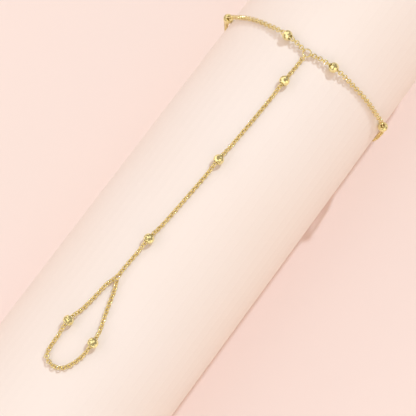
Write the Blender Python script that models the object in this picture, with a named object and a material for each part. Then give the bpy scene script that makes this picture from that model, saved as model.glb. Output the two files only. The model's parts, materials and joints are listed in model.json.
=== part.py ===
"""Hand chain laid out on a plain display roll. Metres, +Z up.

Everything is placed in the roll's own frame: X along the roll's axis towards the wrist loop, and
degrees round the roll counted from its top (+Z) towards +Y. The whole group then leans by the small
angle at which the roll rests on the clasp under it and on its far end.
"""
import math

import bmesh
import bpy
from mathutils import Matrix, Vector

# Display roll
ROLL_RADIUS = 0.0250
ROLL_LENGTH = 0.1700
ROLL_EDGE = 0.0015
ROLL_SIDES = 64
EDGE_STEPS = 3

# Chain: round-wire links, each a quarter turn from the last
LINK_WIRE = 0.00033
LINK_LENGTH = 0.00143
LINK_WIDTH = 0.00130
LINK_PITCH = 0.00085
LINK_END_STEPS = 4
WIRE_SIDES = 5
LINK_LEAN = 45.0
LEAN_RUN = 0.0050

# Plain tubes that stand for the longer chains: points for each stretch between two beads
TUBE_STEPS = 8
TUBE_BEVEL_STEPS = 2

# Station beads
BEAD_DIAMETER = 0.00270
BEAD_CLEARANCE = 0.00027
BEAD_LIP = 0.00013
BEAD_SIDES = 12
BEAD_BANDS = 5
BEAD_FLAT_RUN = 0.0017
BEAD_RAMP_RUN = 0.0050
WRIST_BEADS_A_SIDE = 3
HAND_BEADS = 3
FINGER_BEADS = 2

# Where each chain's first bead sits, from the centre of the ring it hangs on, and the stretch to the next
LEFT_FIRST_BEAD = 0.0070
RIGHT_FIRST_BEAD = 0.0078
HAND_FIRST_BEAD = 0.0098
FINGER_FIRST_BEAD = 0.0163
WRIST_BEAD_PITCH = 0.0268
HAND_BEAD_PITCH = 0.0270
FINGER_BEAD_PITCH = 0.0257

# Jump rings and clasp
WRIST_RING_DIAMETER = 0.0027
WRIST_RING_WIRE = 0.00040
FINGER_RING_DIAMETER = 0.0021
FINGER_RING_WIRE = 0.00036
RING_SIDES = 14
RING_WIRE_SIDES = 6
CLASP_DIAMETER = 0.0055
CLASP_WIRE = 0.0011
CLASP_SIDES = 20
CLASP_WIRE_SIDES = 8
EYE_DIAMETER = 0.0018
EYE_WIRE = 0.00040
EYE_SINK = 0.00030

# Clearances
ROLL_GAP = 0.00030
RING_GAP = 0.00030
HOOK_GAP = 0.00010

# Places on the roll: along the axis in metres, degrees round it
WRIST_RING_AT = (0.0455, -1.8)
FINGER_RING_AT = (-0.0305, 8.0)
CLASP_AT = (0.0472, 180.0)
ROUTES = {
    "wrist_left": [(0.0458, 2.0), (0.0463, 8.0), (0.0469, 22.0), (0.0473, 45.0), (0.0473, 90.0),
                   (0.0472, 135.0)],
    "wrist_right": [(0.0459, -6.0), (0.0463, -12.0), (0.0467, -26.0), (0.0469, -50.0), (0.0472, -90.0),
                    (0.0472, -135.0)],
    "hand": [(0.0268, -0.5), (0.0100, 1.6), (-0.0065, 4.1), (-0.0215, 7.0), (-0.0262, 7.8)],
    "finger": [(-0.0336, 10.5), (-0.0380, 11.7), (-0.0423, 13.2), (-0.0463, 15.0), (-0.0510, 15.1),
               (-0.0546, 14.7), (-0.0567, 13.0), (-0.0575, 9.2), (-0.0575, 5.0), (-0.0564, 1.2),
               (-0.0542, -1.4), (-0.0512, -3.2), (-0.0476, -3.5), (-0.0445, -2.7), (-0.0410, -0.2),
               (-0.0372, 2.5), (-0.0336, 4.8)],
}

# Finishes: colour, roughness, metallic
GOLD = ((0.86, 0.63, 0.27), 0.18, 1.0)
PAPER = ((0.93, 0.84, 0.78), 0.75, 0.0)

CHAIN_REST = ROLL_GAP + LINK_WIDTH / 2
BEAD_REST = ROLL_GAP + BEAD_DIAMETER / 2
CLASP_REST = ROLL_GAP + CLASP_WIRE / 2
CURVE_SAMPLES = 24


def clear_scene():
    """Remove every object of the open scene."""
    for old in list(bpy.data.objects):
        bpy.data.objects.remove(old, do_unlink=True)


def finish_material(name, finish):
    """A Principled material of one piece."""
    colour, roughness, metallic = finish
    material = bpy.data.materials.new(name)
    material.use_nodes = True
    shader = material.node_tree.nodes["Principled BSDF"]
    shader.inputs["Base Color"].default_value = (*colour, 1.0)
    shader.inputs["Roughness"].default_value = roughness
    shader.inputs["Metallic"].default_value = metallic
    return material


def add_object(name, data, finish, parent, place=None):
    """Link a piece under its parent, at its place in the roll's frame."""
    piece = bpy.data.objects.new(name, data)
    bpy.context.scene.collection.objects.link(piece)
    data.materials.append(finish_material(name, finish))
    piece.parent = parent
    if place is not None:
        piece.matrix_local = place
    return piece


def mesh_from(bm, name):
    """Close a bmesh into a smooth mesh with outward faces and sharp corners kept."""
    bmesh.ops.recalc_face_normals(bm, faces=bm.faces)
    mesh = bpy.data.meshes.new(name)
    bm.to_mesh(mesh)
    bm.free()
    mesh.shade_smooth()
    mesh.set_sharp_from_angle(angle=math.radians(40))
    return mesh


def on_roll(along, degrees, height):
    """A point above the roll's surface, in the roll's frame."""
    turn = math.radians(degrees)
    reach = ROLL_RADIUS + height
    return Vector((along, reach * math.sin(turn), reach * math.cos(turn)))


def spline(knots):
    """A smooth curve of (along, degrees) through the chosen places of a route."""
    ghosts = [tuple(2 * a - b for a, b in zip(knots[0], knots[1]))]
    ends = [tuple(2 * a - b for a, b in zip(knots[-1], knots[-2]))]
    run = ghosts + list(knots) + ends
    points = []
    for before, start, stop, after in zip(run, run[1:], run[2:], run[3:]):
        for step in range(CURVE_SAMPLES):
            t = step / CURVE_SAMPLES
            points.append(tuple(
                0.5 * (2 * b + (c - a) * t + (2 * a - 5 * b + 4 * c - d) * t ** 2
                       + (3 * b - a - 3 * c + d) * t ** 3)
                for a, b, c, d in zip(before, start, stop, after)))
    points.append(tuple(knots[-1]))
    return points


class Route:
    """One chain's centre line on the roll, measured from the ring that it starts at."""

    def __init__(self, knots, first_bead, bead_pitch, beads):
        self.points = spline(knots)
        self.marks = [0.0]
        for (a_along, a_deg), (b_along, b_deg) in zip(self.points, self.points[1:]):
            step = on_roll(b_along, b_deg, CHAIN_REST) - on_roll(a_along, a_deg, CHAIN_REST)
            self.marks.append(self.marks[-1] + step.length)
        self.length = self.marks[-1]
        self.bead_pitch = bead_pitch
        self.bead_marks = [first_bead + number * bead_pitch for number in range(beads)]

    def height(self, mark):
        """Height of the chain's middle: it climbs from the roll to each bead's bore."""
        away = min(abs(mark - bead) for bead in self.bead_marks)
        t = min(max((BEAD_RAMP_RUN - away) / (BEAD_RAMP_RUN - BEAD_FLAT_RUN), 0.0), 1.0)
        return CHAIN_REST + (BEAD_REST - CHAIN_REST) * t * t * (3 - 2 * t)

    def at(self, mark):
        """The centre line's point at a length along it."""
        index = 0
        while index < len(self.marks) - 2 and self.marks[index + 1] < mark:
            index += 1
        share = (mark - self.marks[index]) / (self.marks[index + 1] - self.marks[index])
        along, degrees = (a + (b - a) * share for a, b in zip(self.points[index], self.points[index + 1]))
        return on_roll(along, degrees, self.height(mark))

    def frame(self, mark, lean):
        """A frame at a mark: X along the chain, Y across it, turned by lean towards the roll's normal."""
        reach = LINK_WIDTH / 2
        middle = self.at(mark)
        forward = (self.at(mark + reach) - self.at(mark - reach)).normalized()
        outward = Vector((0.0, middle.y, middle.z))
        outward = (outward - forward * outward.dot(forward)).normalized()
        side = outward.cross(forward)
        turn = math.radians(lean)
        across = side * math.cos(turn) + outward * math.sin(turn)
        normal = forward.cross(across)
        frame = Matrix((forward, across, normal)).transposed().to_4x4()
        frame.translation = middle
        return frame


def wire_loop(bm, line, wire, sides, place):
    """Sweep a round wire along a closed line of (point, outward direction) pairs in the XY plane."""
    rings = []
    for middle, outward in line:
        ring = []
        for number in range(sides):
            turn = 2 * math.pi * number / sides
            offset = outward * math.cos(turn) + Vector((0.0, 0.0, math.sin(turn)))
            ring.append(bm.verts.new(place @ (middle + offset * wire / 2)))
        rings.append(ring)
    for ring, after in zip(rings, rings[1:] + rings[:1]):
        for number in range(sides):
            follow = (number + 1) % sides
            bm.faces.new((ring[number], ring[follow], after[follow], after[number]))


def link_line():
    """A link's centre line: two half circles joined by short straight sides."""
    bend = (LINK_WIDTH - LINK_WIRE) / 2
    straight = (LINK_LENGTH - LINK_WIDTH) / 2
    line = []
    for end in (1, -1):
        for step in range(LINK_END_STEPS + 1):
            turn = math.pi * (step / LINK_END_STEPS - 0.5)
            outward = Vector((end * math.cos(turn), end * math.sin(turn), 0.0))
            line.append((Vector((end * straight, 0.0, 0.0)) + outward * bend, outward))
    return line


def circle_line(diameter, wire, sides):
    """A ring's centre line."""
    turns = [2 * math.pi * number / sides for number in range(sides)]
    outwards = [Vector((math.cos(turn), math.sin(turn), 0.0)) for turn in turns]
    return [(outward * (diameter - wire) / 2, outward) for outward in outwards]


def ring_reach(diameter, wire):
    """Distance from a ring's centre to the middle of the first link hooked on it."""
    hole_end = LINK_LENGTH / 2 - LINK_WIRE
    return (diameter - wire) / 2 + hole_end - wire / 2 - HOOK_GAP


def roll_mesh():
    """The solid roll: a turned outline with rounded ends, along X."""
    outline = []
    for step in range(EDGE_STEPS + 1):
        turn = math.pi / 2 * step / EDGE_STEPS
        outline.append((ROLL_LENGTH / 2 - ROLL_EDGE * (1 - math.sin(turn)),
                        ROLL_RADIUS - ROLL_EDGE * (1 - math.cos(turn))))
    outline = [(-along, reach) for along, reach in reversed(outline)] + outline
    bm = bmesh.new()
    rings = []
    for along, reach in outline:
        ring = []
        for number in range(ROLL_SIDES):
            turn = 2 * math.pi * (number + 0.5) / ROLL_SIDES
            ring.append(bm.verts.new((along, reach * math.sin(turn), reach * math.cos(turn))))
        rings.append(ring)
    for ring, after in zip(rings, rings[1:]):
        for number in range(ROLL_SIDES):
            follow = (number + 1) % ROLL_SIDES
            bm.faces.new((ring[number], ring[follow], after[follow], after[number]))
    bm.faces.new(rings[0])
    bm.faces.new(rings[-1])
    return mesh_from(bm, "display_roll")


def bead_mesh():
    """A station bead: bands of flat faces round X, bored for the chain."""
    radius = BEAD_DIAMETER / 2
    bore = LINK_WIDTH / 2 + BEAD_CLEARANCE
    mouth = math.acos((bore + BEAD_LIP) / radius)
    outline = []
    for step in range(BEAD_BANDS + 1):
        turn = mouth * (2 * step / BEAD_BANDS - 1)
        outline.append((radius * math.sin(turn), radius * math.cos(turn)))
    outline += [(outline[-1][0], bore), (outline[0][0], bore)]
    bm = bmesh.new()
    rings = []
    for along, reach in outline:
        ring = []
        for number in range(BEAD_SIDES):
            turn = 2 * math.pi * number / BEAD_SIDES
            ring.append(bm.verts.new((along, reach * math.cos(turn), reach * math.sin(turn))))
        rings.append(ring)
    for ring, after in zip(rings, rings[1:] + rings[:1]):
        for number in range(BEAD_SIDES):
            follow = (number + 1) % BEAD_SIDES
            bm.faces.new((ring[number], ring[follow], after[follow], after[number]))
    return mesh_from(bm, "station_bead")


def roll_flat():
    """Distance from the roll's axis to the middle of one of its flats."""
    return ROLL_RADIUS * math.cos(math.pi / ROLL_SIDES)


def resting_lean():
    """Lean of the roll that stands on the clasp near one end and on its edge at the other."""
    ring = (CLASP_DIAMETER - CLASP_WIRE) / 2
    drop = ROLL_RADIUS + CLASP_REST - roll_flat() + ROLL_EDGE
    rise = CLASP_WIRE / 2 - ROLL_EDGE
    base = CLASP_AT[0] - ring + ROLL_LENGTH / 2 - ROLL_EDGE
    return math.atan2(drop, base) + math.asin(rise / math.hypot(drop, base))


def resting_height(lean):
    """Height of the roll's middle above the surface that it rests on."""
    edge_drop = (roll_flat() - ROLL_EDGE) * math.cos(lean) + (ROLL_LENGTH / 2 - ROLL_EDGE) * math.sin(lean)
    return edge_drop + ROLL_EDGE


def add_ring(name, place, diameter, wire, parent):
    """A jump ring that lies along the roll at the height of the chain's middle."""
    bm = bmesh.new()
    wire_loop(bm, circle_line(diameter, wire, RING_SIDES), wire, RING_WIRE_SIDES, Matrix())
    along, degrees = place
    seat = Matrix.Translation(on_roll(along, degrees, CHAIN_REST))
    seat = seat @ Matrix.Rotation(math.radians(-degrees), 4, "X")
    add_object(name, mesh_from(bm, name), GOLD, parent, seat)


def add_clasp(parent):
    """The clasp under the roll: a plain ring with an eye for each half of the wrist loop."""
    bm = bmesh.new()
    ring_line = circle_line(CLASP_DIAMETER, CLASP_WIRE, CLASP_SIDES)
    wire_loop(bm, ring_line, CLASP_WIRE, CLASP_WIRE_SIDES, Matrix())
    along, degrees = CLASP_AT
    seat = Matrix.Translation(on_roll(along, degrees, CLASP_REST))
    seat = seat @ Matrix.Rotation(math.radians(-degrees), 4, "X")
    clasp = add_object("clasp", mesh_from(bm, "clasp"), GOLD, parent, seat)
    for side, shift in (("left", -eye_centre()), ("right", eye_centre())):
        bm = bmesh.new()
        wire_loop(bm, circle_line(EYE_DIAMETER, EYE_WIRE, RING_SIDES), EYE_WIRE, RING_WIRE_SIDES, Matrix())
        place = seat @ Matrix.Translation((0.0, shift, 0.0))
        eye = add_object(f"clasp_eye_guide_{side}", mesh_from(bm, "clasp_eye"), GOLD, parent, place)
        join(clasp, eye)


def eye_centre():
    """Distance from the clasp's centre to each eye's centre: the eye's wire sinks into the ring's."""
    return CLASP_DIAMETER / 2 + EYE_DIAMETER / 2 - EYE_SINK


def join(body, guide):
    """Fuse a guide into a body, and keep the guide out of the model."""
    guide.hide_render = True
    guide.display_type = "WIRE"
    union = body.modifiers.new(guide.name, "BOOLEAN")
    union.operation = "UNION"
    union.solver = "EXACT"
    union.object = guide


def add_tube(name, route, start, stop, parent):
    """A plain tube along a chain's centre line, with points midway round each bead."""
    step = route.bead_pitch / TUBE_STEPS
    first = route.bead_marks[0] + step / 2
    count = math.ceil((route.length + first) / step)
    marks = [first + number * step for number in range(-count, count)]
    marks = [start] + [mark for mark in marks if start + step / 2 < mark < stop - step / 2] + [stop]
    curve = bpy.data.curves.new(name, "CURVE")
    curve.dimensions = "3D"
    curve.bevel_depth = LINK_WIDTH / 2
    curve.bevel_resolution = TUBE_BEVEL_STEPS
    curve.use_fill_caps = True
    line = curve.splines.new("POLY")
    line.points.add(len(marks) - 1)
    for point, mark in zip(line.points, marks):
        point.co = (*route.at(mark), 1.0)
    line.use_smooth = True
    add_object(name, curve, GOLD, parent)


def add_beads(name, route, parent):
    """The beads of one chain, each a copy of its own that shares the bead's outline."""
    for number, mark in enumerate(route.bead_marks, start=1):
        add_object(f"{name}_{number}", bead_mesh(), GOLD, parent, route.frame(mark, 0.0))


def add_link_chain(name, route, start, stop, parent):
    """A chain of interlocked links fused into one body, hooked on a ring at each end."""
    count = 2 * round((stop - start) / LINK_PITCH / 2)
    pitch = (stop - start) / count
    line = link_line()
    halves = [bmesh.new(), bmesh.new()]
    for number in range(count + 1):
        mark = start + number * pitch
        inward = min(mark - start, stop - mark) / LEAN_RUN
        lean = 90.0 * (number % 2 + 1) + LINK_LEAN * min(inward, 1.0)
        wire_loop(halves[number % 2], line, LINK_WIRE, WIRE_SIDES, route.frame(mark, lean))
    chain = add_object(name, mesh_from(halves[0], name), GOLD, parent)
    guide = add_object(f"{name}_guide", mesh_from(halves[1], name), GOLD, parent)
    join(chain, guide)


def build():
    """Build the roll, the rings and clasp, the chains and their beads."""
    clear_scene()
    lean = resting_lean()
    rest = bpy.data.objects.new("resting_lean", None)
    bpy.context.scene.collection.objects.link(rest)
    rest.rotation_euler = (0.0, -lean, 0.0)
    rest.location = (0.0, 0.0, resting_height(lean))

    add_object("display_roll", roll_mesh(), PAPER, rest)
    add_ring("wrist_ring", WRIST_RING_AT, WRIST_RING_DIAMETER, WRIST_RING_WIRE, rest)
    add_ring("finger_ring", FINGER_RING_AT, FINGER_RING_DIAMETER, FINGER_RING_WIRE, rest)
    add_clasp(rest)

    wrist_start = WRIST_RING_DIAMETER / 2 + RING_GAP
    clasp_reach = eye_centre() + EYE_DIAMETER / 2 + RING_GAP
    clasp_right = (CLASP_AT[0], CLASP_AT[1] - 360.0)
    for side, first_bead, clasp_place in (("left", LEFT_FIRST_BEAD, CLASP_AT),
                                          ("right", RIGHT_FIRST_BEAD, clasp_right)):
        knots = [WRIST_RING_AT] + ROUTES[f"wrist_{side}"] + [clasp_place]
        half = Route(knots, first_bead, WRIST_BEAD_PITCH, WRIST_BEADS_A_SIDE)
        add_tube(f"wrist_chain_{side}", half, wrist_start, half.length - clasp_reach, rest)
        add_beads(f"wrist_bead_{side}", half, rest)

    knots = [WRIST_RING_AT] + ROUTES["hand"] + [FINGER_RING_AT]
    hand = Route(knots, HAND_FIRST_BEAD, HAND_BEAD_PITCH, HAND_BEADS)
    finger_start = FINGER_RING_DIAMETER / 2 + RING_GAP
    add_tube("hand_chain", hand, wrist_start, hand.length - finger_start, rest)
    add_beads("hand_bead", hand, rest)

    knots = [FINGER_RING_AT] + ROUTES["finger"] + [FINGER_RING_AT]
    finger = Route(knots, FINGER_FIRST_BEAD, FINGER_BEAD_PITCH, FINGER_BEADS)
    hook = ring_reach(FINGER_RING_DIAMETER, FINGER_RING_WIRE)
    add_link_chain("finger_chain", finger, hook, finger.length - hook, rest)
    add_beads("finger_bead", finger, rest)


build()
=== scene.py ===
"""Finished look of a gold hand chain laid out on a plain display roll.

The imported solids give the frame. The display roll keeps its solid and gets its paper finish. Each chain
gets its real interlocked links, each station bead its cut facets, and the jump rings and the clasp their
round wire. Lengths are in metres. A place on the roll is a length along its axis and the degrees round it,
counted from its top towards +Y.
"""
from __future__ import annotations

import json
import logging
import math
from dataclasses import dataclass, field
from enum import Enum
from itertools import combinations

import bmesh
import bpy
from bpy.types import Material, Mesh, Node, NodeSocket, NodeTree, Object
from mathutils import Matrix, Vector

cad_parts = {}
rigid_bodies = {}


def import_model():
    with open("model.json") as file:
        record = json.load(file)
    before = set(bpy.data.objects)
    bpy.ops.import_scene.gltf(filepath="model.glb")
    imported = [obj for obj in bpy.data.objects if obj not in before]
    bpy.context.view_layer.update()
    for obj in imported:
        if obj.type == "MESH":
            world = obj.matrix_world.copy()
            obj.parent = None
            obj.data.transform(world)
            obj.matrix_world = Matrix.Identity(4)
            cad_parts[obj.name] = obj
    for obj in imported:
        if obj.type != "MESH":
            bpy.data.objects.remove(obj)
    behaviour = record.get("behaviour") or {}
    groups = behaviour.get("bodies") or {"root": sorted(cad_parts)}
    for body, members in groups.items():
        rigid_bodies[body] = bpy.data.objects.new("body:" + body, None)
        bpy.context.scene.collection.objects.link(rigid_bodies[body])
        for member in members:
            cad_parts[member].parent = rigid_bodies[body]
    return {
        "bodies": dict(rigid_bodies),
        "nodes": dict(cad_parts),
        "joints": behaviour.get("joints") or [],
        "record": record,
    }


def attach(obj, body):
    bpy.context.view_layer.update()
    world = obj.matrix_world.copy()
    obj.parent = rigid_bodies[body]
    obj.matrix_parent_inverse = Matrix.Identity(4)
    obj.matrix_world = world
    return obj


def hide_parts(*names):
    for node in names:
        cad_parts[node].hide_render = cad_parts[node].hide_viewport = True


LOG = logging.getLogger("hand_chain")
BODY = "root"
WIRE_SHARP_FROM = math.radians(50.0)

Place = tuple[float, float]
Colour = tuple[float, float, float]


class Slot(Enum):
    """The record's material slots."""

    GOLD = "gold"
    BEAD_GOLD = "bead_gold"
    ROLL = "roll"


class Lie(Enum):
    """How a chain's links lie at one place, as degrees that the flat link is turned."""

    SQUARE = 0.0
    LEFT_NEAR = -33.0
    LEFT_FAR = -32.0
    RIGHT_NEAR = 33.0
    RIGHT_FAR = 36.0
    HAND = 32.0
    FINGER_OUT = 21.0
    FINGER_BACK = -38.0


WRIST_RING_AT: Place = (0.0455, -1.8)
FINGER_RING_AT: Place = (-0.0305, 8.0)
CLASP_AT: Place = (0.0472, 180.0)
ROUTES: dict[str, list[Place]] = {
    "wrist_left": [(0.0458, 2.0), (0.0463, 8.0), (0.0469, 22.0), (0.0473, 45.0), (0.0473, 90.0),
                   (0.0472, 135.0)],
    "wrist_right": [(0.0459, -6.0), (0.0463, -12.0), (0.0467, -26.0), (0.0469, -50.0), (0.0472, -90.0),
                    (0.0472, -135.0)],
    "hand": [(0.0268, -0.5), (0.0100, 1.6), (-0.0065, 4.1), (-0.0215, 7.0), (-0.0262, 7.8)],
    "finger": [(-0.0336, 10.5), (-0.0380, 11.7), (-0.0423, 13.2), (-0.0463, 15.0), (-0.0510, 15.1),
               (-0.0546, 14.7), (-0.0567, 13.0), (-0.0575, 9.2), (-0.0575, 5.0), (-0.0564, 1.2),
               (-0.0542, -1.4), (-0.0512, -3.2), (-0.0476, -3.5), (-0.0445, -2.7), (-0.0410, -0.2),
               (-0.0372, 2.5), (-0.0336, 4.8)],
}


def fill(tree: NodeTree, socket: NodeSocket, value: object) -> None:
    """Join another node's output to an input, or set the input to a plain value."""
    if isinstance(value, NodeSocket):
        tree.links.new(value, socket)
    else:
        socket.default_value = value


def add_node(tree: NodeTree, kind: str, settings: dict[str, str] | None = None,
             **inputs: object) -> Node:
    """Add a node, choose its settings and fill its inputs.

    Args:
        tree: The node tree.
        kind: The node's type.
        settings: Its own properties by name.
        inputs: A value or another node's output for each input, by name, with _ for a space.

    Returns:
        The node.
    """
    node = tree.nodes.new(kind)
    for key, value in (settings or {}).items():
        setattr(node, key, value)
    for key, value in inputs.items():
        name = key.replace("_", " ")
        fill(tree, next(socket for socket in node.inputs if socket.enabled and socket.name == name), value)
    return node


class NodeBench:
    """A material's nodes, with short ways to add and join them."""

    NOISE_LOW = 0.3
    NOISE_HIGH = 0.7

    def __init__(self, name: str) -> None:
        """Start a material with its Principled shader.

        Args:
            name: The material's name.
        """
        self.material = bpy.data.materials.new(name)
        self.material.use_nodes = True
        self.tree = self.material.node_tree
        self.shader = self.tree.nodes["Principled BSDF"]
        self.place = self.tree.nodes.new("ShaderNodeTexCoord").outputs["Object"]

    def noise(self, size: float, stretch: tuple[float, float, float] = (1.0, 1.0, 1.0),
              detail: float = 3.0) -> NodeSocket:
        """Add a noise whose grains have a real size.

        Args:
            size: Length of one grain in metres.
            stretch: How much longer the grains are along X, Y and Z.
            detail: Octaves of finer grain.

        Returns:
            The noise's value.
        """
        mapping = add_node(self.tree, "ShaderNodeMapping", Vector=self.place,
                           Scale=[1.0 / share for share in stretch])
        noise = add_node(self.tree, "ShaderNodeTexNoise", Vector=mapping.outputs["Vector"],
                         Scale=1.0 / size, Detail=detail)
        return noise.outputs["Fac"]

    def blend(self, share: NodeSocket, low: Colour, high: Colour,
              span: tuple[float, float] = (0.35, 0.65)) -> NodeSocket:
        """Turn a value into a colour between two tones.

        Args:
            share: The value that chooses between the tones.
            low: Tone at the low end, in linear light.
            high: Tone at the high end.
            span: The values that count as the low and the high end.

        Returns:
            The colour.
        """
        ramp = add_node(self.tree, "ShaderNodeValToRGB", Fac=share)
        for stop, tone, at in zip(ramp.color_ramp.elements, (low, high), span):
            stop.color = (*tone, 1.0)
            stop.position = at
        return ramp.outputs["Color"]

    def span(self, share: NodeSocket, low: float, high: float) -> NodeSocket:
        """Spread a noise between two numbers.

        Args:
            share: The noise's value.
            low: The number at the low end.
            high: The number at the high end.

        Returns:
            The new value.
        """
        spread = add_node(self.tree, "ShaderNodeMapRange", Value=share, From_Min=self.NOISE_LOW,
                          From_Max=self.NOISE_HIGH, To_Min=low, To_Max=high)
        return spread.outputs["Result"]

    def bump(self, height: NodeSocket, depth: float, strength: float,
             under: NodeSocket | None = None) -> NodeSocket:
        """Raise fine relief from a value.

        Args:
            height: The value that is read as height.
            depth: Real depth of the relief in metres.
            strength: How much of it shows.
            under: A normal to lay this relief on.

        Returns:
            The bent normal.
        """
        bump = add_node(self.tree, "ShaderNodeBump", Height=height, Distance=depth, Strength=strength)
        if under is not None:
            self.tree.links.new(under, bump.inputs["Normal"])
        return bump.outputs["Normal"]

    def feed(self, socket: str, value: NodeSocket | float) -> None:
        """Join a value to one of the shader's sockets, or set the socket to a number."""
        fill(self.tree, self.shader.inputs[socket], value)


@dataclass(frozen=True)
class PolishedGold:
    """Polished gold plate: two close golds, faint handling marks and a soft gloss."""

    name: str
    light: Colour
    deep: Colour
    gloss: tuple[float, float]
    cloud_size: float = 0.0016
    haze_size: float = 0.0008
    mark_size: float = 0.00012
    mark_depth: float = 0.000004
    mark_strength: float = 0.25
    mark_stretch: tuple[float, float, float] = (3.0, 1.0, 1.0)

    def material(self) -> Material:
        """Build the finish.

        Returns:
            The gold material.
        """
        bench = NodeBench(self.name)
        bench.feed("Metallic", 1.0)
        bench.feed("Base Color", bench.blend(bench.noise(self.cloud_size), self.deep, self.light))
        bench.feed("Roughness", bench.span(bench.noise(self.haze_size), *self.gloss))
        marks = bench.noise(self.mark_size, self.mark_stretch)
        bench.feed("Normal", bench.bump(marks, self.mark_depth, self.mark_strength))
        return bench.material


@dataclass(frozen=True)
class SmoothPaper:
    """Smooth pale paper: slow tone changes, fine fibres, a swell counted in fibres and a matt face."""

    name: str
    warm: Colour
    cool: Colour
    tone_size: float = 0.045
    tone_detail: float = 1.0
    swell_width: float = 20.0
    swell_depth: float = 2.0
    fibre_size: float = 0.00022
    fibre_depth: float = 0.00003
    fibre_strength: float = 0.12
    fibre_stretch: tuple[float, float, float] = (6.0, 1.5, 1.5)
    gloss: tuple[float, float] = (0.62, 0.80)

    def material(self) -> Material:
        """Build the finish.

        Returns:
            The paper material.
        """
        bench = NodeBench(self.name)
        tones = bench.noise(self.tone_size, detail=self.tone_detail)
        bench.feed("Base Color", bench.blend(tones, self.warm, self.cool))
        fibres = bench.noise(self.fibre_size, self.fibre_stretch)
        bench.feed("Roughness", bench.span(fibres, *self.gloss))
        swell = bench.bump(bench.noise(self.fibre_size * self.swell_width),
                           self.fibre_depth * self.swell_depth, self.fibre_strength)
        bench.feed("Normal", bench.bump(fibres, self.fibre_depth, self.fibre_strength, under=swell))
        return bench.material


CHAIN_GOLD = PolishedGold("chain_gold", light=(0.94, 0.82, 0.44), deep=(0.86, 0.72, 0.34), gloss=(0.06, 0.14))
BEAD_GOLD = PolishedGold("bright_cut_gold", light=(0.95, 0.87, 0.46), deep=(0.88, 0.78, 0.37),
                         gloss=(0.04, 0.10), mark_strength=0.10)
ROLL_PAPER = SmoothPaper("cream_pink_paper", warm=(0.93, 0.80, 0.73), cool=(0.93, 0.81, 0.75))
FLOOR_PAPER = SmoothPaper("pale_pink_paper", warm=(0.93, 0.76, 0.69), cool=(0.93, 0.75, 0.69),
                          tone_size=0.12)


def smooth_step(share: float) -> float:
    """Ease a share from 0 to 1, held at both ends."""
    share = min(max(share, 0.0), 1.0)
    return share * share * (3.0 - 2.0 * share)


def link_in(name: str, data: bpy.types.ID) -> Object:
    """Make an object of a mesh, curve, light or camera and link it into the scene."""
    thing = bpy.data.objects.new(name, data)
    bpy.context.scene.collection.objects.link(thing)
    return thing


@dataclass(frozen=True)
class RollSeat:
    """The display roll's own frame: X along its axis towards the wrist loop, +Z at its top."""

    matrix: Matrix
    radius: float = 0.0250

    @classmethod
    def from_record(cls, record: dict) -> "RollSeat":
        """Read the roll's axis from the flat mounts on its two ends.

        Args:
            record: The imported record.

        Returns:
            The roll's frame.
        """
        ends = {mount["name"]: Vector(mount["pos_m"]) for mount in record["mounts"]}
        hand, wrist = ends["roll_end_hand"], ends["roll_end_wrist"]
        axis = wrist - hand
        lean = math.atan2(axis.z, axis.x)
        return cls(Matrix.Translation((wrist + hand) / 2) @ Matrix.Rotation(-lean, 4, "Y"))

    def point(self, place: Place, height: float) -> Vector:
        """The point at a height over a place on the roll's surface, in the roll's frame."""
        turn, reach = math.radians(place[1]), self.radius + height
        return Vector((place[0], reach * math.sin(turn), reach * math.cos(turn)))

    def tangent_frame(self, place: Place, height: float) -> Matrix:
        """A frame at a place and a height over the roll: X along the roll, Z straight out of it."""
        turned = Matrix.Rotation(-math.radians(place[1]), 4, "X")
        return Matrix.Translation(self.point(place, height)) @ turned


@dataclass
class Workshop:
    """What every piece is made with: the roll's seat, the chains' gold, the link tree and a bead to copy."""

    seat: RollSeat
    chain_gold: Material
    tree: LinkTree
    bead: Mesh

    def clear(self) -> None:
        """Remove the bead and the tree once every piece is made."""
        bpy.data.meshes.remove(self.bead)
        bpy.data.node_groups.remove(self.tree.tree)

    def add(self, name: str, mesh: Mesh, slot: Slot, *nodes: str) -> None:
        """Make a piece of a mesh made in the roll's frame, and let it stand for its solids.

        Args:
            name: The piece's name.
            mesh: Its finished mesh, with its material.
            slot: The record's slot for its finish; not used.
            nodes: The solids that it stands for.
        """
        mesh.name = name
        mesh.transform(self.seat.matrix)
        piece = link_in(name, mesh)
        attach(piece, BODY)
        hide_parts(*nodes)
        LOG.info("%s: %d faces", name, len(mesh.polygons))


def close_mesh(bm: bmesh.types.BMesh, name: str, material: Material,
               sharp_from: float | None = None) -> Mesh:
    """Finish a bmesh as a smooth mesh with its faces outwards.

    Args:
        bm: The shape, which is freed.
        name: The mesh's name.
        material: Its finish.
        sharp_from: The angle from which its edges stay sharp, if any do.

    Returns:
        The mesh.
    """
    bmesh.ops.recalc_face_normals(bm, faces=bm.faces)
    for face in bm.faces:
        face.smooth = True
    mesh = bpy.data.meshes.new(name)
    bm.to_mesh(mesh)
    bm.free()
    mesh.materials.append(material)
    if sharp_from is not None:
        mesh.set_sharp_from_angle(angle=sharp_from)
    return mesh


@dataclass(frozen=True)
class BeadRun:
    """A chain's evenly spaced beads."""

    first: float
    pitch: float
    count: int

    @property
    def marks(self) -> list[float]:
        """Where the beads sit along the centre line."""
        return [self.first + number * self.pitch for number in range(self.count)]


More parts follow.
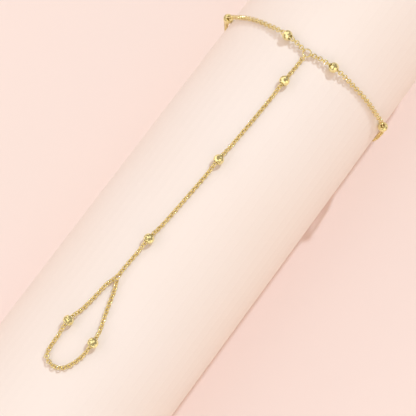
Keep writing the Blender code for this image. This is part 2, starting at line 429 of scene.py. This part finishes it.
@dataclass
class Route:
    """One chain's centre line on the roll, measured from the ring that it starts at."""

    seat: RollSeat
    knots: list[Place]
    beads: BeadRun
    link: LinkSize
    start_rest: float
    end_rest: float
    lies: list[tuple[float, Lie]] = field(default_factory=list)
    measured_at: float = 0.00095
    bead_rest: float = 0.00140
    flat_run: float = 0.0012
    ramp_run: float = 0.0050
    samples: int = 24
    end_run: float = 0.0060
    places: list[Place] = field(init=False)
    marks: list[float] = field(init=False)

    def __post_init__(self) -> None:
        """Sample the smooth curve through the knots and measure it at the solid chain's height."""
        self.places = self.curve()
        self.marks = [0.0]
        for here, after in zip(self.places, self.places[1:]):
            step = self.seat.point(after, self.measured_at) - self.seat.point(here, self.measured_at)
            self.marks.append(self.marks[-1] + step.length)

    @property
    def length(self) -> float:
        """Length of the whole centre line."""
        return self.marks[-1]

    def curve(self) -> list[Place]:
        """A Catmull-Rom curve through the knots.

        Returns:
            Places along the curve.
        """
        first = tuple(2 * a - b for a, b in zip(self.knots[0], self.knots[1]))
        last = tuple(2 * a - b for a, b in zip(self.knots[-1], self.knots[-2]))
        run = [first, *self.knots, last]
        places = []
        for before, start, stop, after in zip(run, run[1:], run[2:], run[3:]):
            for step in range(self.samples):
                t = step / self.samples
                places.append(tuple(
                    0.5 * (2 * b + (c - a) * t + (2 * a - 5 * b + 4 * c - d) * t ** 2
                           + (3 * b - a - 3 * c + d) * t ** 3)
                    for a, b, c, d in zip(before, start, stop, after)))
        return [*places, tuple(self.knots[-1])]

    def lean(self, mark: float) -> float:
        """How far the links are turned round the chain at a length along it.

        Args:
            mark: Length along the centre line.

        Returns:
            The turn in degrees.
        """
        before = self.lies[0]
        for after in self.lies:
            if after[0] >= mark:
                share = smooth_step((mark - before[0]) / max(after[0] - before[0], self.link.wire))
                return before[1].value + (after[1].value - before[1].value) * share
            before = after
        return before[1].value

    def height(self, mark: float) -> float:
        """Height of the chain's middle over the roll.

        Args:
            mark: Length along the centre line.

        Returns:
            The height: it climbs to each bead's bore, and to the ring or the eye at both ends.
        """
        rest = self.link.rest(self.lean(mark))
        for end, away in ((self.start_rest, mark), (self.end_rest, self.length - mark)):
            rest += (end - rest) * smooth_step(1.0 - away / self.end_run)
        away = min(abs(mark - bead) for bead in self.beads.marks)
        share = smooth_step((self.ramp_run - away) / (self.ramp_run - self.flat_run))
        return rest + (self.bead_rest - rest) * share

    def at(self, mark: float) -> Vector:
        """The centre line's point at a length along it.

        Args:
            mark: Length along the centre line.

        Returns:
            The point, in the roll's frame.
        """
        index = 0
        while index < len(self.marks) - 2 and self.marks[index + 1] < mark:
            index += 1
        share = (mark - self.marks[index]) / (self.marks[index + 1] - self.marks[index])
        here, after = self.places[index], self.places[index + 1]
        place = tuple(a + (b - a) * share for a, b in zip(here, after))
        return self.seat.point(place, self.height(mark))

    def frame(self, mark: float, roll: float, reach: float = 0.0009) -> Matrix:
        """A frame at a mark: X along the chain, Z away from the roll, rolled round X.

        Args:
            mark: Length along the centre line.
            roll: Degrees to turn round the chain.
            reach: How far to each side the chain's direction is read.

        Returns:
            The frame, in the roll's frame.
        """
        middle = self.at(mark)
        forward = (self.at(mark + reach) - self.at(mark - reach)).normalized()
        outward = Vector((0.0, middle.y, middle.z))
        outward = (outward - forward * outward.dot(forward)).normalized()
        frame = Matrix((forward, outward.cross(forward), outward)).transposed().to_4x4()
        return Matrix.Translation(middle) @ frame @ Matrix.Rotation(math.radians(roll), 4, "X")


@dataclass(frozen=True)
class LinkSize:
    """Sizes of one round-wire link: neighbours touch where their wires cross."""

    length: float = 0.00148
    width: float = 0.00143
    wire: float = 0.00033
    hook_play: float = 0.00002
    lift: float = 0.00002

    @property
    def pitch(self) -> float:
        """Distance from one link's middle to the next one's."""
        return self.length - 2 * self.wire

    def rest(self, lean: float) -> float:
        """Height of a lying chain's middle over the roll.

        Args:
            lean: Degrees that its links are turned.

        Returns:
            The height, which is least where the links lie halfway over.
        """
        turn = math.radians(lean)
        reach = (self.width - self.wire) / 2 * max(abs(math.cos(turn)), abs(math.sin(turn)))
        return reach + self.wire / 2 + self.lift

    def reach(self, ring_diameter: float, ring_wire: float) -> float:
        """Distance from a ring's centre, by its outer diameter and wire, to a hooked link's middle."""
        return ring_diameter / 2 - ring_wire + self.length / 2 - self.wire - self.hook_play


class LinkTree:
    """A geometry node tree that threads interlocked links along a centre line."""

    INPUTS = (("Centre line", "NodeSocketGeometry"), ("Link count", "NodeSocketInt"),
              ("Link length", "NodeSocketFloat"), ("Link width", "NodeSocketFloat"),
              ("Wire", "NodeSocketFloat"), ("Sway", "NodeSocketFloat"), ("Seed", "NodeSocketInt"),
              ("Finish", "NodeSocketMaterial"))
    BEND_POINTS = 12
    WIRE_SIDES = 6
    MIDDLE_PARTS = 10.0

    def __init__(self) -> None:
        """Build the tree and keep its inputs' identifiers."""
        self.tree = bpy.data.node_groups.new("interlocked_links", "GeometryNodeTree")
        self.sockets: dict[str, str] = {}
        for name, kind in self.INPUTS:
            socket = self.tree.interface.new_socket(name, in_out="INPUT", socket_type=kind)
            self.sockets[name] = socket.identifier
        self.tree.interface.new_socket("Links", in_out="OUTPUT", socket_type="NodeSocketGeometry")
        self.given = self.tree.nodes.new("NodeGroupInput").outputs
        links = self.instances(self.line_points(), self.link_mesh())
        realized = self.node("GeometryNodeRealizeInstances", Geometry=links)
        dressed = self.node("GeometryNodeSetMaterial", Geometry=realized.outputs["Geometry"],
                            Material=self.given["Finish"])
        finished = self.tree.nodes.new("NodeGroupOutput")
        self.tree.links.new(dressed.outputs["Geometry"], finished.inputs["Links"])

    def node(self, kind: str, settings: dict[str, str] | None = None, **inputs: object) -> Node:
        """Add a node to this tree, with its settings and inputs."""
        return add_node(self.tree, kind, settings, **inputs)

    def maths(self, operation: str, *numbers: object) -> NodeSocket:
        """Work out one step of arithmetic.

        Args:
            operation: The sum's kind.
            numbers: The numbers or outputs that it takes.

        Returns:
            The result.
        """
        node = self.node("ShaderNodeMath", {"operation": operation})
        for socket, value in zip(node.inputs, numbers):
            fill(self.tree, socket, value)
        return node.outputs["Value"]

    def link_mesh(self) -> NodeSocket:
        """One link: a circle drawn out to the link's length, swept with its wire.

        A point is in the link's middle, and isn't drawn out, where its X times MIDDLE_PARTS rounds to 0.

        Returns:
            The link's mesh.
        """
        circle = self.node("GeometryNodeCurvePrimitiveCircle", {"mode": "RADIUS"},
                           Resolution=self.BEND_POINTS, Radius=1.0)
        place = self.node("ShaderNodeSeparateXYZ", Vector=self.node("GeometryNodeInputPosition").outputs[0])
        across_wire = self.maths("SUBTRACT", self.given["Link width"], self.given["Wire"])
        bend = self.maths("MULTIPLY", across_wire, 0.5)
        spare = self.maths("SUBTRACT", self.given["Link length"], self.given["Link width"])
        straight = self.maths("MULTIPLY", spare, 0.5)
        part = self.maths("MULTIPLY", place.outputs["X"], self.MIDDLE_PARTS)
        end = self.maths("SIGN", self.maths("ROUND", part))
        along = self.maths("ADD", self.maths("MULTIPLY", place.outputs["X"], bend),
                           self.maths("MULTIPLY", end, straight))
        across = self.maths("MULTIPLY", place.outputs["Y"], bend)
        oval = self.node("ShaderNodeCombineXYZ", X=along, Y=across)
        line = self.node("GeometryNodeSetPosition", Geometry=circle.outputs["Curve"],
                         Position=oval.outputs[0])
        wire = self.node("GeometryNodeCurvePrimitiveCircle", {"mode": "RADIUS"}, Resolution=self.WIRE_SIDES,
                         Radius=self.maths("MULTIPLY", self.given["Wire"], 0.5))
        link = self.node("GeometryNodeCurveToMesh", Curve=line.outputs["Geometry"],
                         Profile_Curve=wire.outputs["Curve"])
        smooth = self.node("GeometryNodeSetShadeSmooth", Geometry=link.outputs["Mesh"])
        return smooth.outputs["Geometry"]

    def line_points(self) -> Node:
        """The node that gives even points along the centre line, with its tilt as a named attribute."""
        kept = self.node("GeometryNodeStoreNamedAttribute", {"data_type": "FLOAT", "domain": "POINT"},
                         Geometry=self.given["Centre line"], Name="link_lean",
                         Value=self.node("GeometryNodeInputCurveTilt").outputs["Tilt"])
        return self.node("GeometryNodeCurveToPoints", {"mode": "COUNT"}, Curve=kept.outputs["Geometry"],
                         Count=self.given["Link count"])

    def instances(self, points: Node, link: NodeSocket) -> NodeSocket:
        """Thread a link on each point, a quarter turn from the one before.

        Args:
            points: The node that gives the points.
            link: The link's mesh.

        Returns:
            The links.
        """
        place = self.node("ShaderNodeSeparateXYZ", Vector=self.node("GeometryNodeInputPosition").outputs[0])
        outward = self.node("ShaderNodeCombineXYZ", Y=place.outputs["Y"], Z=place.outputs["Z"])
        seat = self.node("FunctionNodeAxesToRotation", {"primary_axis": "X", "secondary_axis": "Z"},
                         Primary_Axis=points.outputs["Tangent"], Secondary_Axis=outward.outputs[0])
        lean = self.node("GeometryNodeInputNamedAttribute", {"data_type": "FLOAT"}, Name="link_lean")
        number = self.node("GeometryNodeInputIndex").outputs["Index"]
        other = self.maths("MODULO", self.maths("ADD", number, 1.0), 2.0)
        quarter = self.maths("MULTIPLY", other, math.pi / 2)
        sway = self.node("FunctionNodeRandomValue", {"data_type": "FLOAT"}, Seed=self.given["Seed"],
                         Min=self.maths("MULTIPLY", self.given["Sway"], -1.0), Max=self.given["Sway"])
        swing = next(s for s in sway.outputs if s.enabled)
        turn = self.maths("ADD", self.maths("ADD", lean.outputs["Attribute"], quarter), swing)
        roll = self.node("FunctionNodeAxisAngleToRotation", Axis=(1.0, 0.0, 0.0), Angle=turn)
        turned = self.node("FunctionNodeRotateRotation", {"rotation_space": "LOCAL"},
                           Rotation=seat.outputs["Rotation"], Rotate_By=roll.outputs["Rotation"])
        threaded = self.node("GeometryNodeInstanceOnPoints", Points=points.outputs["Points"], Instance=link,
                             Rotation=turned.outputs["Rotation"])
        return threaded.outputs["Instances"]


@dataclass
class LinkChain:
    """One chain of real interlocked links, from ring to ring."""

    name: str
    node: str
    route: Route
    start: float
    stop: float
    seed: int
    sway: float = 4.0
    line_step: float = 0.0002

    def centre_line(self) -> Object:
        """The chain's centre line as a curve that carries the links' lean as its tilt.

        Returns:
            The curve object.
        """
        steps = math.ceil((self.stop - self.start) / self.line_step)
        marks = [self.start + (self.stop - self.start) * step / steps for step in range(steps + 1)]
        curve = bpy.data.curves.new(self.name, "CURVE")
        curve.dimensions = "3D"
        line = curve.splines.new("POLY")
        line.points.add(len(marks) - 1)
        for point, mark in zip(line.points, marks):
            point.co = (*self.route.at(mark), 1.0)
            point.tilt = math.radians(self.route.lean(mark))
        return link_in(f"{self.name}_line", curve)

    def build(self, shop: Workshop) -> None:
        """Thread the links and turn them into one plain mesh.

        Their count is odd, so that the links at both ends are turned the same way.

        Args:
            shop: The workshop.
        """
        link = self.route.link
        count = 2 * round((self.stop - self.start) / link.pitch / 2) + 1
        carrier = self.centre_line()
        threading = carrier.modifiers.new("threading", "NODES")
        threading.node_group = shop.tree.tree
        values = {"Link count": count, "Link length": link.length, "Link width": link.width,
                  "Wire": link.wire, "Sway": math.radians(self.sway), "Seed": self.seed,
                  "Finish": shop.chain_gold}
        for name, value in values.items():
            threading[shop.tree.sockets[name]] = value
        threaded = carrier.evaluated_get(bpy.context.evaluated_depsgraph_get())
        mesh = bpy.data.meshes.new_from_object(threaded)
        carrier.modifiers.remove(threading)
        bpy.data.objects.remove(carrier, do_unlink=True)
        if "link_lean" in mesh.attributes:
            mesh.attributes.remove(mesh.attributes["link_lean"])
        bm = bmesh.new()
        bm.from_mesh(mesh)
        bpy.data.meshes.remove(mesh)
        LOG.info("%s: %d links over %.4f m", self.name, count, self.stop - self.start)
        shop.add(self.name, close_mesh(bm, self.name, shop.chain_gold), Slot.GOLD, self.node)


def join_rings(bm: bmesh.types.BMesh, first: list[Vector], second: list[Vector]) -> None:
    """Lay a band of four-sided faces between two closed rings of corners."""
    for face in zip(first, first[1:] + first[:1], second[1:] + second[:1], second):
        bm.faces.new([bm.verts.new(corner) for corner in face])


@dataclass(frozen=True)
class StationBead:
    """A round bead with rows of slightly dished cut facets, bored for the chain that runs through it.

    facet_depth is a facet's distance from the bead's middle as a share of the radius, and dish the share of
    that distance by which its middle is sunk. slack and weld are shares of the diameter. Three cuts can meet
    in a corner if each pair of their directions has a dot product of near_cuts or more and the three have a
    determinant of flat_three or more.
    """

    diameter: float = 0.00270
    bore: float = 0.00146
    length: float = 0.00204
    facets_round: int = 12
    row_angles: tuple[float, ...] = (-54.0, -32.4, -10.8, 10.8, 32.4, 54.0)
    facet_depth: float = 0.985
    dish: float = 0.035
    sharp_from: float = 30.0
    near_cuts: float = 0.5
    flat_three: float = 0.001
    slack: float = 0.0001
    weld: float = 0.001

    def cuts(self) -> list[tuple[Vector, float]]:
        """The flat cuts that shape the bead, before their faces are dished.

        Returns:
            Each cut's outward direction and its distance from the bead's middle: first the two mouths,
            then the facets row by row, with every other row half a facet on.
        """
        mouths = [(Vector((side, 0.0, 0.0)), self.length / 2) for side in (-1.0, 1.0)]
        facets = []
        for row, angle in enumerate(self.row_angles):
            tilt = math.radians(angle)
            for number in range(self.facets_round):
                turn = 2 * math.pi * (number + row % 2 / 2) / self.facets_round
                outward = Vector((math.sin(tilt), math.cos(tilt) * math.cos(turn),
                                  math.cos(tilt) * math.sin(turn)))
                facets.append((outward, self.diameter / 2 * self.facet_depth))
        return mouths + facets

    def outlines(self) -> list[list[Vector]]:
        """The corners of each cut face, in order round it.

        Returns:
            One outline for each cut: a corner is where three cuts meet and no other cut takes it away.
        """
        cuts = self.cuts()
        slack, weld = self.diameter * self.slack, self.diameter * self.weld
        outlines: list[dict[tuple[int, ...], Vector]] = [{} for _ in cuts]
        for three in combinations(range(len(cuts)), 3):
            sides = Matrix([cuts[number][0] for number in three])
            spread = min(sides[0].dot(sides[1]), sides[1].dot(sides[2]), sides[2].dot(sides[0]))
            if spread < self.near_cuts or abs(sides.determinant()) < self.flat_three:
                continue
            corner = sides.inverted() @ Vector([cuts[number][1] for number in three])
            if all(outward.dot(corner) <= reach + slack for outward, reach in cuts):
                for number in three:
                    outlines[number][tuple(round(c / weld) for c in corner)] = corner
        ordered = []
        for (outward, _), outline in zip(cuts, outlines):
            middle = sum(outline.values(), Vector()) / len(outline)
            first = (next(iter(outline.values())) - middle).normalized()
            second = outward.cross(first)
            ordered.append(sorted(outline.values(), key=lambda corner: math.atan2(
                (corner - middle).dot(second), (corner - middle).dot(first))))
        return ordered

    def body(self) -> bmesh.types.BMesh:
        """The cut faces, and the bore from mouth to mouth.

        Returns:
            The bored bead, with its bore's axis along X.
        """
        bm = bmesh.new()
        near, far, *facets = self.outlines()
        for outline in facets:
            middle = sum(outline, Vector()) / len(outline) * (1.0 - self.dish)
            for corner, after in zip(outline, outline[1:] + outline[:1]):
                bm.faces.new([bm.verts.new(point) for point in (corner, after, middle)])
        bores = []
        for mouth in (near, far):
            rim = sorted(mouth, key=lambda corner: math.atan2(corner.z, corner.y))
            aways = [Vector((0.0, corner.y, corner.z)).normalized() * self.bore / 2 for corner in rim]
            bore = [Vector((corner.x, 0.0, 0.0)) + away for corner, away in zip(rim, aways)]
            join_rings(bm, rim, bore)
            bores.append(bore)
        join_rings(bm, *bores)
        bmesh.ops.remove_doubles(bm, verts=bm.verts, dist=self.diameter * self.weld)
        return bm

    def mesh(self, gold: Material) -> Mesh:
        """The finished bead, to copy for each place."""
        return close_mesh(self.body(), "station_bead", gold, math.radians(self.sharp_from))


def sweep_wire(bm: bmesh.types.BMesh, line: list[tuple[Vector, Vector]], wire: float, sides: int,
               closed: bool) -> None:
    """Sweep a round wire along a flat line in the XY plane.

    Args:
        bm: The bmesh that gets the wire.
        line: Points with their outward direction.
        wire: The wire's diameter.
        sides: How many sides the wire has.
        closed: Whether the line runs round to its start. If not, the ends are capped.
    """
    rings = []
    for middle, outward in line:
        turns = [2 * math.pi * number / sides for number in range(sides)]
        offsets = [outward * math.cos(turn) + Vector((0.0, 0.0, math.sin(turn))) for turn in turns]
        rings.append([bm.verts.new(middle + offset * wire / 2) for offset in offsets])
    pairs = list(zip(rings, rings[1:])) + ([(rings[-1], rings[0])] if closed else [])
    for ring, after in pairs:
        for number in range(sides):
            follow = (number + 1) % sides
            bm.faces.new((ring[number], ring[follow], after[follow], after[number]))
    if not closed:
        bm.faces.new(rings[0])
        bm.faces.new(rings[-1])


def ring_line(diameter: float, wire: float, steps: int, slit: float = 0.0,
              slit_at: float = 0.0) -> list[tuple[Vector, Vector]]:
    """The centre line of a ring.

    Args:
        diameter: Outer diameter.
        wire: The wire's diameter.
        steps: Points round the ring.
        slit: Width of the cut between the wire's ends, 0 for a closed ring.
        slit_at: Degrees round the ring of the cut.

    Returns:
        Points with their outward direction.
    """
    radius = (diameter - wire) / 2
    gap = slit / radius
    count = steps if gap == 0.0 else steps + 1
    turns = [math.radians(slit_at) + gap / 2 + (2 * math.pi - gap) * step / steps for step in range(count)]
    outwards = [Vector((math.cos(turn), math.sin(turn), 0.0)) for turn in turns]
    return [(outward * radius, outward) for outward in outwards]


@dataclass(frozen=True)
class JumpRing:
    """A small jump ring bent from round wire, with the hairline cut where it was closed."""

    name: str
    node: str
    place: Place
    diameter: float
    wire: float
    slit_at: float
    rest: float
    tilt: float = 0.0
    slit: float = 0.00003
    steps: int = 36
    sides: int = 12

    def build(self, shop: Workshop) -> None:
        """Bend the ring and lay it on the roll.

        Args:
            shop: The workshop.
        """
        bm = bmesh.new()
        line = ring_line(self.diameter, self.wire, self.steps, self.slit, self.slit_at)
        sweep_wire(bm, line, self.wire, self.sides, closed=False)
        mesh = close_mesh(bm, self.name, shop.chain_gold, WIRE_SHARP_FROM)
        mesh.transform(shop.seat.tangent_frame(self.place, self.rest)
                       @ Matrix.Rotation(math.radians(self.tilt), 4, "X"))
        shop.add(self.name, mesh, Slot.GOLD, self.node)


@dataclass(frozen=True)
class Clasp:
    """The plain clasp under the roll: a round ring with an eye soldered on at each side."""

    place: Place = CLASP_AT
    diameter: float = 0.0055
    wire: float = 0.0011
    eye_diameter: float = 0.0018
    eye_wire: float = 0.00040
    eye_sink: float = 0.00030
    rest: float = 0.00085
    steps: int = 56
    sides: int = 18
    eye_steps: int = 30
    eye_sides: int = 10

    @property
    def eye_centre(self) -> float:
        """Distance from the clasp's middle to each eye's."""
        return (self.diameter + self.eye_diameter) / 2 - self.eye_sink

    def shape(self, diameter: float, wire: float, steps: int, sides: int, shift: float) -> Object:
        """A closed ring of wire as an object, for the union.

        Args:
            diameter: Outer diameter.
            wire: The wire's diameter.
            steps: Points round the ring.
            sides: Sides of the wire.
            shift: How far it is moved along Y.

        Returns:
            The object.
        """
        bm = bmesh.new()
        sweep_wire(bm, ring_line(diameter, wire, steps), wire, sides, closed=True)
        bmesh.ops.recalc_face_normals(bm, faces=bm.faces)
        bmesh.ops.translate(bm, verts=bm.verts, vec=(0.0, shift, 0.0))
        mesh = bpy.data.meshes.new("clasp_shape")
        bm.to_mesh(mesh)
        bm.free()
        return link_in("clasp_shape", mesh)

    def build(self, shop: Workshop) -> None:
        """Solder the eyes to the ring and set the clasp under the roll.

        Args:
            shop: The workshop.
        """
        ring = self.shape(self.diameter, self.wire, self.steps, self.sides, 0.0)
        eyes = [self.shape(self.eye_diameter, self.eye_wire, self.eye_steps, self.eye_sides, shift)
                for shift in (-self.eye_centre, self.eye_centre)]
        for eye in eyes:
            solder = ring.modifiers.new("solder", "BOOLEAN")
            solder.operation = "UNION"
            solder.solver = "EXACT"
            solder.object = eye
        joined = ring.evaluated_get(bpy.context.evaluated_depsgraph_get())
        bm = bmesh.new()
        bm.from_mesh(joined.to_mesh())
        joined.to_mesh_clear()
        for part in (ring, *eyes):
            bpy.data.objects.remove(part, do_unlink=True)
        mesh = close_mesh(bm, "clasp", shop.chain_gold, WIRE_SHARP_FROM)
        mesh.transform(shop.seat.tangent_frame(self.place, self.rest))
        shop.add("clasp_ring", mesh, Slot.GOLD, "clasp")


@dataclass(frozen=True)
class WristHalf:
    """What differs between the halves of the wrist loop: beads, way round the roll, leans and seed."""

    side: str
    beads: BeadRun
    end_turn: float
    near: Lie
    near_to: float
    far: Lie
    far_from: float
    seed: int


@dataclass(frozen=True)
class Jewel:
    """The whole hand chain: wrist loop, hand strand, finger loop, their rings and beads."""

    link: LinkSize = LinkSize()
    bead: StationBead = StationBead()
    clasp: Clasp = Clasp()
    wrist_ring: JumpRing = JumpRing("wrist_jump_ring", "wrist_ring", WRIST_RING_AT, 0.0025, 0.00038, 0.0,
                                    0.00088)
    finger_ring: JumpRing = JumpRing("finger_jump_ring", "finger_ring", FINGER_RING_AT, 0.0021, 0.00036, 90.0,
                                     0.00084, tilt=-35.0)
    wrist_halves: tuple[WristHalf, ...] = (
        WristHalf("left", BeadRun(0.0070, 0.0268, 3), 0.0, Lie.LEFT_NEAR, 0.0080, Lie.LEFT_FAR, 0.0110, 4),
        WristHalf("right", BeadRun(0.0078, 0.0268, 3), -360.0, Lie.RIGHT_NEAR, 0.0130, Lie.RIGHT_FAR,
                  0.0170, 5))
    wrist_ramp_run: float = 0.0078
    wrist_square_runs: tuple[float, float] = (0.0100, 0.0050)
    hand_beads: BeadRun = BeadRun(0.0098, 0.0270, 3)
    hand_seed: int = 11
    finger_beads: BeadRun = BeadRun(0.0163, 0.0257, 2)
    finger_turn: tuple[float, float] = (0.0230, 0.0310)
    finger_seed: int = 23
    bead_turn: float = 37.0
    eye_rest: float = 0.00115
    settle_run: float = 0.0022

    def build(self, shop: Workshop) -> None:
        """Make every piece of the jewel.

        Args:
            shop: The workshop.
        """
        self.wrist_ring.build(shop)
        self.finger_ring.build(shop)
        self.clasp.build(shop)
        self.wrist_loop(shop)
        self.hand_strand(shop)
        self.finger_loop(shop)

    def string(self, shop: Workshop, names: str, route: Route, start: float, stop: float, seed: int) -> None:
        """Thread one chain's links and set its beads on it.

        Args:
            shop: The workshop.
            names: The pattern of the names, with a gap for links, chain or bead.
            route: The chain's centre line.
            start: Where its first link's middle is along the route.
            stop: Where its last link's middle is.
            seed: Start of its links' random sway.
        """
        LinkChain(names.format("links"), names.format("chain"), route, start, stop, seed).build(shop)
        for number, mark in enumerate(route.beads.marks, start=1):
            bead = f"{names.format('bead')}_{number}"
            mesh = shop.bead.copy()
            mesh.transform(route.frame(mark, self.bead_turn * number))
            shop.add(f"{bead}_cut", mesh, Slot.BEAD_GOLD, bead)

    def wrist_loop(self, shop: Workshop) -> None:
        """Make the two halves of the wrist loop, from the wrist ring to the clasp's eyes.

        Args:
            shop: The workshop.
        """
        start = self.link.reach(self.wrist_ring.diameter, self.wrist_ring.wire)
        stop = self.clasp.eye_centre + self.link.reach(self.clasp.eye_diameter, self.clasp.eye_wire)
        turn_run, square_run = self.wrist_square_runs
        for half in self.wrist_halves:
            end = (CLASP_AT[0], CLASP_AT[1] + half.end_turn)
            knots = [WRIST_RING_AT, *ROUTES[f"wrist_{half.side}"], end]
            route = Route(shop.seat, knots, half.beads, self.link, self.wrist_ring.rest, self.eye_rest,
                          ramp_run=self.wrist_ramp_run)
            route.lies = [(0.0, half.near), (half.near_to, half.near), (half.far_from, half.far),
                          (route.length - turn_run, half.far), (route.length - square_run, Lie.SQUARE)]
            self.string(shop, f"wrist_{{}}_{half.side}", route, start, route.length - stop, half.seed)

    def hand_strand(self, shop: Workshop) -> None:
        """Make the strand from the wrist ring to the finger ring.

        Args:
            shop: The workshop.
        """
        knots = [WRIST_RING_AT, *ROUTES["hand"], FINGER_RING_AT]
        route = Route(shop.seat, knots, self.hand_beads, self.link, self.wrist_ring.rest,
                      self.finger_ring.rest)
        start = self.link.reach(self.wrist_ring.diameter, self.wrist_ring.wire)
        stop = route.length - self.link.reach(self.finger_ring.diameter, self.finger_ring.wire)
        route.lies = [(start, Lie.SQUARE), (start + self.settle_run, Lie.HAND)]
        self.string(shop, "hand_{}", route, start, stop, self.hand_seed)

    def finger_loop(self, shop: Workshop) -> None:
        """Make the finger loop, which starts and ends at the finger ring.

        Args:
            shop: The workshop.
        """
        knots = [FINGER_RING_AT, *ROUTES["finger"], FINGER_RING_AT]
        route = Route(shop.seat, knots, self.finger_beads, self.link, self.finger_ring.rest,
                      self.finger_ring.rest)
        start = self.link.reach(self.finger_ring.diameter, self.finger_ring.wire)
        stop = route.length - start
        turn_from, turn_to = self.finger_turn
        route.lies = [(start, Lie.HAND), (start + self.settle_run, Lie.FINGER_OUT),
                      (turn_from, Lie.FINGER_OUT), (turn_to, Lie.FINGER_BACK)]
        self.string(shop, "finger_{}", route, start, stop, self.finger_seed)


@dataclass(frozen=True)
class DisplayRoll:
    """The plain roll that holds the jewel: its solid stays and gets its paper finish."""

    node: str = "display_roll"

    def dress(self, nodes: dict[str, Object]) -> None:
        """Give the roll its paper.

        Args:
            nodes: The frame's solids.
        """
        roll = nodes[self.node]
        paper = ROLL_PAPER.material()
        roll.data.materials.clear()
        roll.data.materials.append(paper)
        LOG.info("%s: %s", self.node, paper.name)


def direction(azimuth: float, elevation: float) -> Vector:
    """A unit vector from degrees round +Z counted from +X, and degrees above the horizon."""
    turn, rise = math.radians(azimuth), math.radians(elevation)
    return Vector((math.cos(turn) * math.cos(rise), math.sin(turn) * math.cos(rise), math.sin(rise)))


@dataclass(frozen=True)
class Softbox:
    """A round soft patch of light in the studio's surroundings."""

    azimuth: float
    elevation: float
    half_angle: float
    strength: float
    colour: Colour = (1.0, 1.0, 1.0)
    edge: float = 10.0


@dataclass(frozen=True)
class Studio:
    """Plain pale floor, soft light from the upper right and the camera over the roll."""

    seat: RollSeat
    azimuth: float = 215.79
    elevation: float = 74.55
    distance: float = 0.4431
    target: tuple[float, float, float] = (0.00276, -0.00017, 0.0)
    field_of_view: float = 14.3
    clip: tuple[float, float] = (0.01, 50.0)
    floor_size: float = 6.0
    sun_azimuth: float = -5.0
    sun_elevation: float = 48.0
    sun_strength: float = 1.585
    sun_angle: float = 2.0
    sun_colour: Colour = (0.72, 0.89, 1.0)
    sky_colour: Colour = (1.0, 0.85, 0.76)
    sky_strength: float = 0.415
    boxes: tuple[Softbox, ...] = (Softbox(135.0, 38.0, 20.0, 1.05, (1.0, 0.95, 0.88)),
                                  Softbox(85.0, 32.0, 16.0, 0.9, (1.0, 0.95, 0.88)),
                                  Softbox(30.0, 60.0, 10.0, 0.8), Softbox(205.0, 26.0, 12.0, 0.9),
                                  Softbox(-60.0, 62.0, 8.0, 0.8),
                                  Softbox(-111.0, 26.0, 18.0, 1.2, (1.0, 0.82, 0.60)))

    def add(self, name: str, data: bpy.types.ID) -> Object:
        """Link a camera, a light or the floor into the scene."""
        return link_in(name, data)

    def build_floor(self) -> None:
        """Lay the floor that the roll stands on."""
        bm = bmesh.new()
        bmesh.ops.create_grid(bm, x_segments=1, y_segments=1, size=self.floor_size / 2)
        mesh = bpy.data.meshes.new("floor")
        bm.to_mesh(mesh)
        bm.free()
        mesh.materials.append(FLOOR_PAPER.material())
        self.add("floor", mesh)

    def build_camera(self) -> None:
        """Set the camera over the roll, in the roll's own frame."""
        back = direction(self.azimuth, self.elevation)
        data = bpy.data.cameras.new("camera")
        data.lens = data.sensor_width / 2 / math.tan(math.radians(self.field_of_view) / 2)
        data.clip_start, data.clip_end = self.clip
        camera = self.add("camera", data)
        looking = (-back).to_track_quat("-Z", "Y").to_matrix().to_4x4()
        place = Matrix.Translation(Vector(self.target) + back * self.distance)
        camera.matrix_world = self.seat.matrix @ place @ looking
        bpy.context.scene.camera = camera

    def build_light(self) -> None:
        """Add the key light and the pale surroundings."""
        key = bpy.data.lights.new("key", "SUN")
        key.energy = self.sun_strength
        key.angle = math.radians(self.sun_angle)
        key.color = self.sun_colour
        toward = direction(self.sun_azimuth, self.sun_elevation)
        self.add("key", key).rotation_euler = toward.to_track_quat("Z", "Y").to_euler()
        world = bpy.data.worlds.new("studio")
        bpy.context.scene.world = world
        world.use_nodes = True
        tree = world.node_tree
        backdrop = tree.nodes["Background"]
        backdrop.inputs["Color"].default_value = (*self.sky_colour, 1.0)
        backdrop.inputs["Strength"].default_value = self.sky_strength
        look = add_node(tree, "ShaderNodeTexCoord").outputs["Generated"]
        total = backdrop.outputs["Background"]
        for box in self.boxes:
            facing = add_node(tree, "ShaderNodeVectorMath", {"operation": "DOT_PRODUCT"}, Vector=look)
            facing.inputs[1].default_value = direction(box.azimuth, box.elevation)
            patch = add_node(tree, "ShaderNodeMapRange", {"interpolation_type": "SMOOTHSTEP"},
                             Value=facing.outputs["Value"],
                             From_Min=math.cos(math.radians(box.half_angle + box.edge)),
                             From_Max=math.cos(math.radians(box.half_angle)), To_Max=box.strength)
            glow = add_node(tree, "ShaderNodeBackground", Color=(*box.colour, 1.0),
                            Strength=patch.outputs["Result"])
            both = add_node(tree, "ShaderNodeAddShader")
            for socket, light in zip(both.inputs, (total, glow.outputs["Background"])):
                tree.links.new(light, socket)
            total = both.outputs["Shader"]
        tree.links.new(total, tree.nodes["World Output"].inputs["Surface"])

    def build(self) -> None:
        """Set up the whole studio."""
        self.build_floor()
        self.build_camera()
        self.build_light()
        bpy.context.scene.view_settings.view_transform = "Standard"
        LOG.info("studio: camera at %.4f %.4f %.4f", *bpy.context.scene.camera.matrix_world.translation)


def main(frame: dict) -> None:
    """Build the finished jewel round the frame.
    """
    logging.basicConfig(level=logging.INFO, format="%(name)s %(message)s")
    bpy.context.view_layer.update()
    seat = RollSeat.from_record(frame["record"])
    jewel = Jewel()
    shop = Workshop(seat, CHAIN_GOLD.material(), LinkTree(), jewel.bead.mesh(BEAD_GOLD.material()))
    DisplayRoll().dress(frame["nodes"])
    jewel.build(shop)
    shop.clear()
    Studio(seat).build()


if __name__ == "__main__":
    main(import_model())
